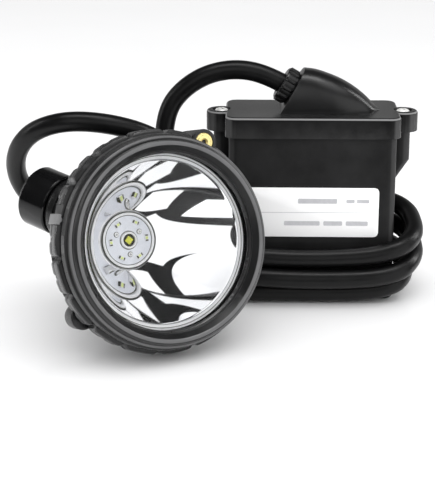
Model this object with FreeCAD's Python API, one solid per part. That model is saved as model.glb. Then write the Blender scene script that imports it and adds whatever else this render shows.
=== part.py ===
import FreeCAD, Part
import math
import os

# Miner's cap lamp: a belt-worn battery pack, a lamp head and the cable between
# them, which is wound round the lower half of the pack.
# Frame: origin at the centre of the pack's bottom face, +X to the right when
# looking at the label, +Y towards the pack's belt side, +Z up. Millimetres.

os.makedirs("parts", exist_ok=True)
V = FreeCAD.Vector

# ---------------------------------------------------------------- dimensions
# battery pack
case_w, case_d, case_h = 72.8, 35.0, 76.0      # outside of the case
case_r = 4.0                                   # vertical corner radius
case_wall = 2.2
lid_w, lid_d = 76.0, 38.0
lid_z0, lid_top = 73.4, 82.4
lid_r = 5.0
roof_z0, roof_z1 = 76.8, 80.2                  # underside recess of the lid
ear_x, ear_r = 39.8, 6.6                       # screw ears on the lid
pillar_x, pillar_r = 38.2, 5.1                 # screw pillars on the case
screw_head_r, screw_r = 3.1, 1.45
label_w, label_z0, label_z1, label_t = 58.4, 29.0, 51.3, 0.4
hood_half = 11.6                               # half width of the cable hood
mouth_lo = (-14.2, 82.4)                       # hood mouth, lower edge (x, z)
mouth_hi = (-4.0, 99.6)                        # hood mouth, upper edge (x, z)
cell_r, cell_h, cell_pitch = 9.1, 65.0, 18.9
# lamp head: front bead centre, heading and tilt
head_pos = V(-57.0, -88.6, 48.82)
head_az, head_tilt = 27.64, 15.02
open_r = 35.0                                  # clear opening of the bezel
bead_r0, bead_r1 = 38.5, 40.3
grip_r = 45.0
lobes = 18
refl_r0, refl_r1, refl_t0, refl_t1 = 32.6, 12.3, 8.9, 46.0
board_r = 12.0
lens_r, lens_t0, lens_t1 = 36.9, 5.3, 8.3
contact_x, contact_z = 23.0, 37.4              # charging contact, in the head frame
knob_r, knob_len = 12.8, 14.0
knob_base = V(-23.63, 56.38, 17.6)
knob_dir = V(-0.471, 0.792, 0.388)
gland_base = V(3.0, 57.5, -8.0)
gland_dir = V(-0.40, 0.80, 0.45)
# cable
cable_d = 8.4
cable_r = cable_d / 2.0

knob_dir.normalize()
gland_dir.normalize()
head_pl = FreeCAD.Placement(head_pos, FreeCAD.Rotation(V(0, 0, 1), head_az).multiply(
    FreeCAD.Rotation(V(1, 0, 0), -head_tilt)))
flat_pl = FreeCAD.Placement(V(head_pos.x, head_pos.y, 0), FreeCAD.Rotation(V(0, 0, 1), head_az))


def put(shape, pl):
    s = shape.copy()
    s.Placement = pl.multiply(s.Placement)
    return s


def cyl(r, p, d, h):
    return Part.makeCylinder(r, h, V(*p) if isinstance(p, tuple) else p,
                             V(*d) if isinstance(d, tuple) else d)


def ring(r1, r0, p, d, h):
    return cyl(r1, p, d, h).cut(cyl(r0, p, d, h))


def rev(pts):
    """Solid of revolution about the head's axis from (radius, depth) points."""
    w = Part.makePolygon([V(r, t, 0) for r, t in pts] + [V(pts[0][0], pts[0][1], 0)])
    return Part.Face(w).revolve(V(0, 0, 0), V(0, 1, 0), 360)


def rbox(w, d, z0, z1, r, x=0.0, y=0.0):
    """Upright box with rounded vertical corners."""
    b = Part.makeBox(w, d, z1 - z0, V(x - w / 2, y - d / 2, z0))
    if r <= 0:
        return b
    es = [e for e in b.Edges if abs(e.Vertexes[0].Z - e.Vertexes[1].Z) > 0.5 * (z1 - z0)]
    return b.makeFillet(r, es)


def one(shape):
    """The single closed solid in a boolean's result."""
    s = shape.removeSplitter()
    return s.Solids[0] if len(s.Solids) == 1 else s


nodes = {}


def node(name, shape):
    nodes[name] = shape


# ------------------------------------------------------------- battery pack
case = rbox(case_w, case_d, 0, case_h, case_r)
foot_edges = [e for e in case.Edges if e.BoundBox.ZMax < 0.01]
case = case.makeChamfer(0.8, foot_edges)
for s in (-1, 1):
    pil = cyl(pillar_r, (s * pillar_x, 0, 60.0), (0, 0, 1), 13.2)
    web = Part.makeBox(4.5, 2 * pillar_r, 13.2, V(s * 36.2 - 2.25, -pillar_r, 60.0))
    pil_lo = Part.makeLoft([
        Part.Wire(Part.Edge(Part.Circle(V(s * (pillar_x - 4.0), 0, 50.7), V(0, 0, 1), 3.0))),
        Part.Wire(Part.Edge(Part.Circle(V(s * pillar_x, 0, 60.0), V(0, 0, 1), pillar_r)))], True)
    case = case.fuse([pil, web, pil_lo])
cavity = rbox(case_w - 2 * case_wall, case_d - 2 * case_wall, 2.5, case_h + 1, 2.5)
case = case.cut(cavity)
for s in (-1, 1):
    case = case.cut(cyl(screw_r, (s * ear_x, 0, 61.0), (0, 0, 1), 20))
for x in (-9.0, 9.0):
    for z in (41.5, 71.5):
        case = case.cut(cyl(1.2, (x, 10.0, z), (0, 1, 0), 10))

gasket = rbox(case_w - 0.6, case_d - 0.6, case_h, roof_z0, case_r - 0.3).cut(
    rbox(case_w - 2 * case_wall, case_d - 2 * case_wall, case_h - 1, roof_z0 + 1, 2.5))
node("lid_gasket", one(gasket))

lid = rbox(lid_w, lid_d, lid_z0, lid_top, lid_r)
top_edges = [e for e in lid.Edges if e.BoundBox.ZMin > lid_top - 0.01]
lid = lid.makeFillet(1.4, top_edges)
for s in (-1, 1):
    ear = cyl(ear_r, (s * ear_x, 0, lid_z0), (0, 0, 1), lid_top - lid_z0 - 0.2)
    ear = ear.makeFillet(1.3, [e for e in ear.Edges if e.BoundBox.ZMin > lid_top - 0.3])
    lid = lid.fuse(ear)
lid = lid.cut(rbox(case_w + 0.2, case_d + 0.2, lid_z0 - 1, roof_z0, case_r))
lid = lid.cut(rbox(64.0, 26.0, roof_z0 - 1, roof_z1, 3.0))
for s in (-1, 1):
    lid = lid.cut(cyl(pillar_r + 0.1, (s * pillar_x, 0, lid_z0 - 1), (0, 0, 1), 0.9))
    lid = lid.cut(cyl(screw_head_r + 0.9, (s * ear_x, 0, 79.4), (0, 0, 1), 5))
    lid = lid.cut(cyl(screw_r, (s * ear_x, 0, 70), (0, 0, 1), 15))
lid = lid.cut(cyl(3.0, (6.0, 0, 78), (0, 0, 1), 6))
case = case.cut(lid)
node("battery_case", one(case))
node("battery_lid", one(lid))

screws = []
for s in (-1, 1):
    head = cyl(screw_head_r, (s * ear_x, 0, 79.4), (0, 0, 1), 1.9)
    slot = Part.makeBox(4.6, 0.9, 1.2, V(s * ear_x - 2.3, -0.45, 80.3))
    slot2 = Part.makeBox(0.9, 4.6, 1.2, V(s * ear_x - 0.45, -2.3, 80.3))
    shank = cyl(screw_r, (s * ear_x, 0, 61.0), (0, 0, 1), 18.4)
    screws.append(one(head.fuse(shank).cut(slot).cut(slot2)))
node("lid_screws", Part.makeCompound(screws))

# cable hood: a fin-shaped cover with a slanting mouth
prof = [V(mouth_lo[0], 0, mouth_lo[1]), V(mouth_hi[0], 0, mouth_hi[1]), V(-2.6, 0, 100.6),
        V(2.0, 0, 99.9), V(7.0, 0, 98.2), V(12.0, 0, 95.4), V(17.0, 0, 92.0),
        V(21.5, 0, 88.3), V(25.5, 0, 84.8), V(28.4, 0, 82.4)]
side = Part.Face(Part.makePolygon(prof + [prof[0]]))
side.translate(V(0, -hood_half, 0))
fin = side.extrude(V(0, 2 * hood_half, 0))
plan = rbox(60.0, 2 * hood_half, 80.0, 104.0, 11.0, x=-1.2)
fin = fin.common(plan)
# the back is rounded across, like a tube lying along it
crown = Part.makeCylinder(11.9, 60, V(-30, 0, 88.6), V(1, 0, 0)).fuse(
    Part.makeBox(60, 23.8, 12, V(-30, -11.9, 76.6)))
fin = fin.common(crown)
mdir = V(mouth_lo[1] - mouth_hi[1], 0, mouth_hi[0] - mouth_lo[0])
mdir.normalize()                               # out of the mouth
mc = V(-8.9, 0, 91.35)                         # centre of the mouth
seal_end = mc - mdir * 7.4
hood = fin.cut(cyl(6.0, seal_end, mdir, 20)).cut(cyl(3.0, (6.0, 0, 80), (0, 0, 1), 7.0))
hood = hood.cut(cyl(2.6, (6.0, 0, 86.9), (seal_end.x - 6.0, 0, seal_end.z - 86.9), 12.0))
node("cable_hood", one(hood))
node("cable_seal", ring(6.0, cable_r, seal_end, mdir, 7.4))
nut = cyl(7.3, mc, mdir, 5.6)
nut_ax = mdir
yv = V(0, 1, 0)
zv = nut_ax.cross(yv)
for i in range(12):
    a = math.radians(30 * i + 15)
    c = mc + yv * (7.5 * math.cos(a)) + zv * (7.5 * math.sin(a)) + nut_ax * 0.9
    nut = nut.fuse(cyl(0.95, c, nut_ax, 3.6))
nut = nut.cut(cyl(cable_r, mc - mdir * 1, mdir, 12))
node("gland_nut", one(nut))

# label on the front face
lab = Part.makeBox(label_w, label_t, label_z1 - label_z0,
                   V(-label_w / 2, -case_d / 2 - label_t, label_z0))
lab = lab.makeFillet(2.2, [e for e in lab.Edges if abs(e.BoundBox.YLength - label_t) < 0.01
                           and e.BoundBox.XLength < 0.01 and e.BoundBox.ZLength < 0.01])
node("label_plate", lab)

# cells, cradle, strips and protection board inside the case
cells = [cyl(cell_r, (i * cell_pitch, 0, 4.2), (0, 0, 1), cell_h) for i in (-1, 0, 1)]
node("battery_cells", Part.makeCompound(cells))
cradle = rbox(64.0, 24.0, 2.5, 13.0, 2.0)
for i in (-1, 0, 1):
    cradle = cradle.cut(cyl(cell_r, (i * cell_pitch, 0, 4.2), (0, 0, 1), 20))
node("cell_cradle", one(cradle))
node("cell_strip", Part.makeBox(46.0, 7.0, 0.3, V(-23, -3.5, 4.2 + cell_h)))
pcb = rbox(52.0, 20.0, 71.4, 73.0, 1.0)
node("protection_board", pcb)
chips = [Part.makeBox(5.0, 4.0, 1.2, V(x, y, 73.0)) for x, y in ((-18, -6), (-6, 2), (8, -5))]
node("board_chips", Part.makeCompound(chips))

# belt bridge on the back of the case
by = case_d / 2
bridge = Part.makeBox(30.0, 8.4, 33.6, V(-15, by, 39.5)).cut(
    Part.makeBox(40.0, 5.4, 26.4, V(-20, by, 43.1)))
bridge = bridge.makeFillet(1.0, [e for e in bridge.Edges if e.BoundBox.YMin > by + 8.3 and e.BoundBox.XLength > 20])
for x in (-9.0, 9.0):
    for z in (41.5, 71.5):
        bridge = bridge.cut(cyl(1.2, (x, by - 1, z), (0, 1, 0), 12))
        bridge = bridge.cut(cyl(2.3, (x, by + 6.8, z), (0, 1, 0), 3))
node("belt_bridge", one(bridge))
bs = []
for x in (-9.0, 9.0):
    for z in (41.5, 71.5):
        bs.append(one(cyl(1.2, (x, by - case_wall + 0.2, z), (0, 1, 0), case_wall - 0.2 + 6.8).fuse(
            cyl(2.2, (x, by + 6.8, z), (0, 1, 0), 1.3))))
node("bridge_screws", Part.makeCompound(bs))

# ---------------------------------------------------------------- lamp head
# All of it is drawn about the head's own axis, depth measured back from the bead.
bez = rev([(open_r, 4.3), (36.2, 3.0), (37.4, 1.4), (38.3, 0.5), (38.8, 0.1), (39.4, 0.0), (40.0, 0.1),
           (40.5, 0.6), (41.4, 1.9), (42.0, 3.0), (42.1, 5.6), (42.8, 6.1), (42.8, 9.6), (43.5, 10.2),
           (43.5, 12.2), (grip_r, 13.4), (grip_r, 19.6), (44.3, 20.5), (39.6, 20.5), (39.6, 9.4), (37.3, 9.4),
           (37.3, 5.2), (open_r, 5.2)])
for i in range(lobes):
    a = math.radians(20.0 * i + 1.0)
    ca, sa = math.cos(a), math.sin(a)
    c = cyl(3.0, ((grip_r + 1.3) * ca, 11.0, (grip_r + 1.3) * sa), (0, 1, 0), 10)
    bez = bez.cut(c)
    b = math.radians(20.0 * i + 11.0)
    c = cyl(1.6, ((grip_r + 1.0) * math.cos(b), 11.0, (grip_r + 1.0) * math.sin(b)), (0, 1, 0), 10)
    bez = bez.cut(c)
bez = bez.cut(cyl(5.6, (contact_x, 8.9, contact_z), (0, 1, 0), 13))
# locking tab in a slot of the ring's rim
ta = math.radians(161.0)
tab = Part.makeBox(4.6, 7.6, 4.2, V(40.2, 12.9, -2.1))
tab.rotate(V(0, 0, 0), V(0, 1, 0), -161.0)
bez = bez.cut(tab)
node("bezel_ring", put(one(bez), head_pl))
node("lock_tab", put(tab, head_pl))

node("front_lens", put(cyl(lens_r, (0, lens_t0, 0), (0, 1, 0), lens_t1 - lens_t0), head_pl))
node("lens_gasket", put(ring(37.2, 35.2, (0, lens_t1, 0), (0, 1, 0), 0.6), head_pl))

# deep parabolic reflector with a flat rim
k4f = (refl_r0 ** 2 - refl_r1 ** 2) / (refl_t1 - refl_t0)
inner = [(math.sqrt(refl_r1 ** 2 + k4f * (refl_t1 - t)), t)
         for t in [refl_t0 + (refl_t1 - refl_t0) * (i / 14.0) for i in range(15)]]
outer = [(r + 1.2, t) for r, t in inner]
refl = rev([(36.2, refl_t0), (inner[0][0], refl_t0)] + inner[1:] + [(inner[-1][0] + 1.2, refl_t1)]
           + list(reversed(outer[1:-1])) + [(math.sqrt(refl_r1 ** 2 + k4f * (refl_t1 - 10.1)) + 1.2, 10.1), (36.2, 10.1)])
node("reflector", put(refl, head_pl))

post = [(6.0 * math.cos(math.radians(a)), 6.0 * math.sin(math.radians(a))) for a in (150, 30, 270)]
board = cyl(board_r, (0, 46.3, 0), (0, 1, 0), 1.6)
for x, z in post:
    board = board.cut(cyl(0.5, (x, 46, z), (0, 1, 0), 3))
node("led_board", put(one(board), head_pl))
node("board_ring", put(ring(board_r, 11.0, (0, 45.6, 0), (0, 1, 0), 0.7), head_pl))
node("main_led_ring", put(ring(3.6, 2.6, (0, 45.2, 0), (0, 1, 0), 1.1), head_pl))
dome = cyl(2.5, (0, 45.9, 0), (0, 1, 0), 0.4).fuse(
    Part.makeSphere(2.5, V(0, 45.9, 0)).common(Part.makeBox(6, 3, 6, V(-3, 42.9, -3))))
node("main_led", put(one(dome), head_pl))
aux = []
for i in range(6):
    a = 60.0 * i
    b = Part.makeBox(1.5, 0.8, 2.6, V(8.1 - 0.75, 45.5, -1.3))
    b.rotate(V(0, 0, 0), V(0, 1, 0), -a)
    aux.append(b)
node("aux_leds", put(Part.makeCompound(aux), head_pl))
scr = [one(cyl(0.95, (x, 45.8, z), (0, 1, 0), 0.5).fuse(cyl(0.5, (x, 46.3, z), (0, 1, 0), 4.0))) for x, z in post]
node("board_screws", put(Part.makeCompound(scr), head_pl))

sw_clear = cyl(9.2, knob_base - knob_dir * 12.0, knob_dir, 14.0)
sink = rev([(0, 47.9), (24.6, 47.9), (24.6, 49.6), (15.0, 49.6), (15.0, 54.0), (0, 54.0)])
for x, z in post:
    sink = sink.cut(cyl(0.5, (x, 46, z), (0, 1, 0), 4.3))
sink = sink.cut(sw_clear)
node("led_heat_sink", put(one(sink), head_pl))
cb = cyl(14.0, (0, 55.6, 0), (0, 1, 0), 1.6).cut(sw_clear)
node("control_board", put(one(cb), head_pl))
parts_b = [Part.makeBox(5.0, 1.2, 4.0, V(x, 57.2, z)) for x, z in ((1.0, -9.0), (4.5, -1.5), (2.0, 4.0))]
node("driver_chips", put(Part.makeCompound(parts_b), head_pl))
posts = [cyl(1.4, (x, 54.0, z), (0, 1, 0), 1.6) for x, z in ((9.5, 6.5), (9.5, -7.5), (-8.0, -8.5))]
node("board_posts", put(Part.makeCompound(posts), head_pl))

# housing: a tapering cup, with bosses for the switch, the contact and the cable
h_out = rev([(0, 10.2), (39.5, 10.2), (39.5, 20.7), (42.0, 20.7), (42.0, 23.4), (38.2, 24.4), (36.5, 30.0),
             (32.6, 40.0), (29.2, 48.0), (26.0, 55.0), (22.6, 60.2), (18.0, 62.6), (0, 63.2)])
switch_boss = cyl(11.6, knob_base - knob_dir * 17.0, knob_dir, 16.5)
switch_rim = cyl(12.6, knob_base - knob_dir * 5.0, knob_dir, 3.0)
cable_boss = cyl(7.8, gland_base, gland_dir, 12.4)
contact_boss = cyl(5.3, (contact_x, 9.4, contact_z), (0, 1, 0), 18.0)
la = math.radians(218.0)
lug = cyl(5.2, (42.0 * math.cos(la), 20.7, 42.0 * math.sin(la)), (0, 1, 0), 8.5)
h_solid = h_out.fuse([switch_boss, switch_rim, cable_boss, contact_boss, lug])
h_in = rev([(0, 9.0), (34.6, 9.0), (34.6, 12.0), (36.6, 12.0), (36.6, 21.0), (35.4, 22.6), (33.6, 29.0),
            (29.8, 38.4), (26.4, 46.6), (23.3, 53.4), (20.0, 57.8), (17.0, 59.8), (0, 60.2)])
housing = h_solid.cut(h_in)
housing = housing.cut(cyl(8.6, knob_base - knob_dir * 18.0, knob_dir, 14.2))
housing = housing.cut(cyl(5.0, knob_base - knob_dir * 2.2, knob_dir, 3.0))
housing = housing.cut(cyl(3.05, knob_base - knob_dir * 6.0, knob_dir, 8.0))
housing = housing.cut(cyl(cable_r, gland_base - gland_dir * 4.0, gland_dir, 20.0))
housing = housing.cut(cyl(3.9, (contact_x, 9.0, contact_z), (0, 1, 0), 1.6))
housing = housing.cut(cyl(1.5, (contact_x, 9.0, contact_z), (0, 1, 0), 14.6))
# cap hook: a blade screwed under the head, level with the ground it stands on
blade = Part.makeBox(22.0, 36.0, 1.6, V(-11, 22.0, 0.5))
blade = blade.makeFillet(4.0, [e for e in blade.Edges if e.BoundBox.ZLength > 1.5 and e.BoundBox.YMin > 50])
pad = Part.makeBox(18.0, 9.0, 7.5, V(-9, 22.0, 2.0))
hook = put(blade.fuse(pad), flat_pl).cut(put(h_solid, head_pl)).cut(put(bez, head_pl))
hs = []
for x in (-5.0, 5.0):
    s = cyl(1.5, (x, 27.0, 1.4), (0, 0, 1), 7.0).fuse(cyl(2.7, (x, 27.0, 0.6), (0, 0, 1), 0.8))
    hs.append(put(one(s), flat_pl))
hook = hook.cut(hs[0]).cut(hs[1])
for x in (-5.0, 5.0):
    hook = hook.cut(put(cyl(2.7, (x, 27.0, 0.0), (0, 0, 1), 0.7), flat_pl))
hw = put(housing, head_pl).cut(hs[0]).cut(hs[1])
node("head_housing", one(hw))
hook_s = hook.removeSplitter()
hook_s = max(hook_s.Solids, key=lambda q: q.Volume)
node("cap_hook", hook_s)
node("hook_screws", Part.makeCompound(hs))

node("housing_seal", put(ring(39.55, 38.0, (0, 9.45, 0), (0, 1, 0), 0.7).cut(
    cyl(5.6, (contact_x, 8.0, contact_z), (0, 1, 0), 5)), head_pl))

contact = cyl(3.9, (contact_x, 9.4, contact_z), (0, 1, 0), 1.2).fuse(
    cyl(1.5, (contact_x, 10.6, contact_z), (0, 1, 0), 13.0)).cut(
    cyl(1.0, (contact_x, 9.0, contact_z), (0, 1, 0), 8.4))
node("charge_contact", put(one(contact), head_pl))

# rotary switch, its shaft, seal and knob
sw = cyl(8.0, knob_base - knob_dir * 10.0, knob_dir, 6.0).cut(cyl(3.35, knob_base - knob_dir * 9.4, knob_dir, 8.0))
node("rotary_switch", put(one(sw), head_pl))
node("knob_seal", put(ring(5.0, 3.35, knob_base - knob_dir * 2.2, knob_dir, 1.5), head_pl))
node("knob_shaft", put(cyl(3.0, knob_base - knob_dir * 9.0, knob_dir, 17.0), head_pl))
knob = cyl(knob_r, knob_base, knob_dir, knob_len)
knob = knob.makeFillet(1.0, [e for e in knob.Edges if e.Length < 2 * math.pi * knob_r + 1 and
                             abs((e.CenterOfMass - (knob_base + knob_dir * knob_len)).Length) < 0.2])
side_v = knob_dir.cross(V(0, 0, 1))
side_v.normalize()
up_v = side_v.cross(knob_dir)
face_c = knob_base + knob_dir * knob_len
pocket = cyl(10.2, face_c - knob_dir * 2.4, knob_dir, 4.0)
rot = FreeCAD.Rotation(side_v, knob_dir, up_v, "ZXY")
barb = Part.makeBox(30, 8, 4.4, V(-15, -4, -2.2))
barb.Placement = FreeCAD.Placement(face_c, rot)
knob = knob.cut(pocket.cut(barb))
knob = knob.cut(cyl(3.0, knob_base - knob_dir * 1.0, knob_dir, 9.0))
node("switch_knob", put(one(knob), head_pl))

# cable gland of the head: nut and rubber boot
gn = cyl(7.2, gland_base + gland_dir * 12.4, gland_dir, 5.0)
gy = gland_dir.cross(V(0, 0, 1))
gy.normalize()
gz = gland_dir.cross(gy)
for i in range(12):
    a = math.radians(30 * i)
    c = gland_base + gland_dir * 13.2 + gy * (7.3 * math.cos(a)) + gz * (7.3 * math.sin(a))
    gn = gn.fuse(cyl(0.9, c, gland_dir, 3.4))
gn = gn.cut(cyl(cable_r, gland_base, gland_dir, 30))
node("head_gland_nut", put(one(gn), head_pl))
boot_len = 11.0
boot = Part.makeCone(6.2, 5.1, boot_len, gland_base + gland_dir * 17.4, gland_dir).cut(
    cyl(cable_r, gland_base, gland_dir, 40))
node("head_boot", put(one(boot), head_pl))

# ------------------------------------------------------------------- cable
gd = head_pl.Rotation.multVec(gland_dir)
g_in = head_pl.multVec(gland_base + gland_dir * 23.0)
g_mouth = head_pl.multVec(gland_base + gland_dir * 28.4)
g_out = head_pl.multVec(gland_base + gland_dir * 35.0)
print("boot: inside end", [round(c, 2) for c in g_in], "mouth", [round(c, 2) for c in g_mouth],
      "outside point", [round(c, 2) for c in g_out], "direction", [round(c, 3) for c in gd])
nut_face = mc + mdir * 5.6
print("hood nut face", [round(c, 2) for c in nut_face], "direction", [round(c, 3) for c in mdir])


def tube(name, pts):
    """Round tube along straight runs joined by tangent arcs."""
    P = [V(*p) for p in pts]
    edges, last, total, rmin = [], P[0], 0.0, 1e9
    for i in range(1, len(P) - 1):
        a, b, c = P[i - 1], P[i], P[i + 1]
        u, w = b - a, c - b
        lu, lw = u.Length, w.Length
        u.normalize()
        w.normalize()
        turn = math.acos(max(-1, min(1, u.dot(w))))
        cutl = 0.45 * min(lu, lw)
        rad = cutl / math.tan(turn / 2)
        rmin = min(rmin, rad)
        print("  %s point %2d run %.1f/%.1f turn %.0f deg radius %.1f mm" % (name, i, lu, lw, math.degrees(turn), rad))
        t1, t2 = b - u * cutl, b + w * cutl
        bis = (w - u)
        bis.normalize()
        mid = b + bis * (rad / math.cos(turn / 2) - rad)
        edges.append(Part.LineSegment(last, t1).toShape())
        edges.append(Part.Arc(t1, mid, t2).toShape())
        total += (t1 - last).Length + rad * turn
        last = t2
    edges.append(Part.LineSegment(last, P[-1]).toShape())
    total += (P[-1] - last).Length
    path = Part.Wire(edges)
    d0 = P[1] - P[0]
    sec = Part.Wire(Part.Edge(Part.Circle(P[0], d0, cable_r)))
    solid = path.makePipeShell([sec], True, False)
    print("%s length %.1f volume %.1f expected %.1f smallest radius %.1f valid %s" % (
        name, total, solid.Volume, math.pi * cable_r ** 2 * total, rmin, solid.isValid()))
    node(name, solid.Solids[0] if solid.Solids else solid)


gland_route = [
    tuple(mc + mdir * 1.0), tuple(mc + mdir * 13.0),
    (-33.0, 0.0, 101.7), (-45.8, 0.0, 99.9), (-56.2, 0.0, 93.4), (-62.8, -0.4, 83.6),
    (-65.4, -1.6, 71.6), (-64.6, -4.0, 58.8), (-61.6, -8.2, 46.6), (-56.4, -13.4, 35.8), (-49.0, -18.8, 27.2)]
head_route = [
    (-43.5, 24.6, 6.2), (-56.0, 25.6, 8.4), (-67.4, 22.0, 15.4), (-75.6, 15.0, 26.4), (-79.6, 5.4, 40.0),
    (-77.6, -5.6, 52.6), (-70.2, -16.4, 63.4), (-65.6, -27.2, 72.6), (-74.2, -36.2, 80.8), (-89.4, -41.4, 85.8),
    (-104.4, -42.4, 86.4), (-117.2, -38.6, 81.6), (-125.2, -31.6, 72.6), (-128.6, -22.6, 61.6),
    (-127.6, -14.8, 51.4), (-123.4, -11.0, 43.6), (-115.8, -11.6, 37.6), tuple(g_out), tuple(g_in)]
tube("cable_gland_loop", gland_route)
tube("cable_head_loop", head_route)

# the wound turns, as the one thick band that they make round the case
band = rbox(99.0, 66.0, 0.4, 44.0, 24.0, x=0.4, y=-1.6)
band = band.cut(rbox(case_w + 0.8, case_d + 0.8, -1, 50, case_r + 0.4))
slant = Part.makeBox(200, 200, 60, V(-100, -100, 0))
slant.rotate(V(0, 0, 0), V(1, 0, 0), 14.5)
slant.translate(V(0, 0, 31.5))
band = band.cut(slant)
node("cable_coil", one(band))

# ---------------------------------------------------------------- write all
for name, shape in nodes.items():
    ok = shape.isValid() and all(s.isClosed() for s in shape.Solids)
    print("%-18s solids %d volume %9.1f valid %s" % (name, len(shape.Solids), shape.Volume, ok))
    shape.exportStep("parts/%s.step" % name)
print(len(nodes), "nodes")
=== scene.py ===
import bpy, bmesh, math
from mathutils import Vector, Matrix, Euler


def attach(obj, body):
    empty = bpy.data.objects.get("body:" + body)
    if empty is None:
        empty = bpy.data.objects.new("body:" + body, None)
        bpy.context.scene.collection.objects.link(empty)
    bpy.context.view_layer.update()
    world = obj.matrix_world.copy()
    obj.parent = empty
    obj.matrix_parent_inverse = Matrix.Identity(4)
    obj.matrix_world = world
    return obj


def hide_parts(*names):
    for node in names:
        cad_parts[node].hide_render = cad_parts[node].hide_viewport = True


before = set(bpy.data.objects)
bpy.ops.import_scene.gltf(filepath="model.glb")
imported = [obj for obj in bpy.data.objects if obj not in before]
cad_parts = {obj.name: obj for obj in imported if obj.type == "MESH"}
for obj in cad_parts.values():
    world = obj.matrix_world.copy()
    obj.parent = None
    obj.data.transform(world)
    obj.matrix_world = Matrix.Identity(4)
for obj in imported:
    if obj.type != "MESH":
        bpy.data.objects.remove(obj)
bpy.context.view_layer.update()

scene = bpy.context.scene
MM = 0.001

# ------------------------------------------------------------------ camera
cam_data = bpy.data.cameras.new("camera")
cam_data.lens = 111.95
cam_data.sensor_width = 36.0
cam_data.clip_start, cam_data.clip_end = 0.01, 50.0
cam = bpy.data.objects.new("camera", cam_data)
scene.collection.objects.link(cam)
cam.location = (-0.0254, -0.663, 0.2344)
cam.rotation_euler = (math.radians(90.0 - 18.08), 0.0, math.radians(1.4))
scene.camera = cam

# ------------------------------------------------------------- head's frame
HEAD_POS = Vector((-57.0, -88.6, 48.82)) * MM
HM = (Matrix.Translation(HEAD_POS) @ Matrix.Rotation(math.radians(27.64), 4, "Z")
      @ Matrix.Rotation(math.radians(-15.02), 4, "X"))


# ---------------------------------------------------------------- node tools
def new_mat(name):
    m = bpy.data.materials.new(name)
    m.use_nodes = True
    nt = m.node_tree
    bsdf = next(n for n in nt.nodes if n.type == "BSDF_PRINCIPLED")
    return m, nt, bsdf


def N(nt, kind, **kw):
    n = nt.nodes.new(kind)
    for k, v in kw.items():
        if k in n.inputs:
            n.inputs[k].default_value = v
        else:
            setattr(n, k, v)
    return n


def ramp(nt, src, stops):
    r = nt.nodes.new("ShaderNodeValToRGB")
    els = r.color_ramp.elements
    while len(els) < len(stops):
        els.new(0.5)
    for e, (p, c) in zip(els, stops):
        e.position = p
        e.color = (c[0], c[1], c[2], 1.0) if hasattr(c, "__len__") else (c, c, c, 1.0)
    nt.links.new(src, r.inputs[0])
    return r.outputs[0]


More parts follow.
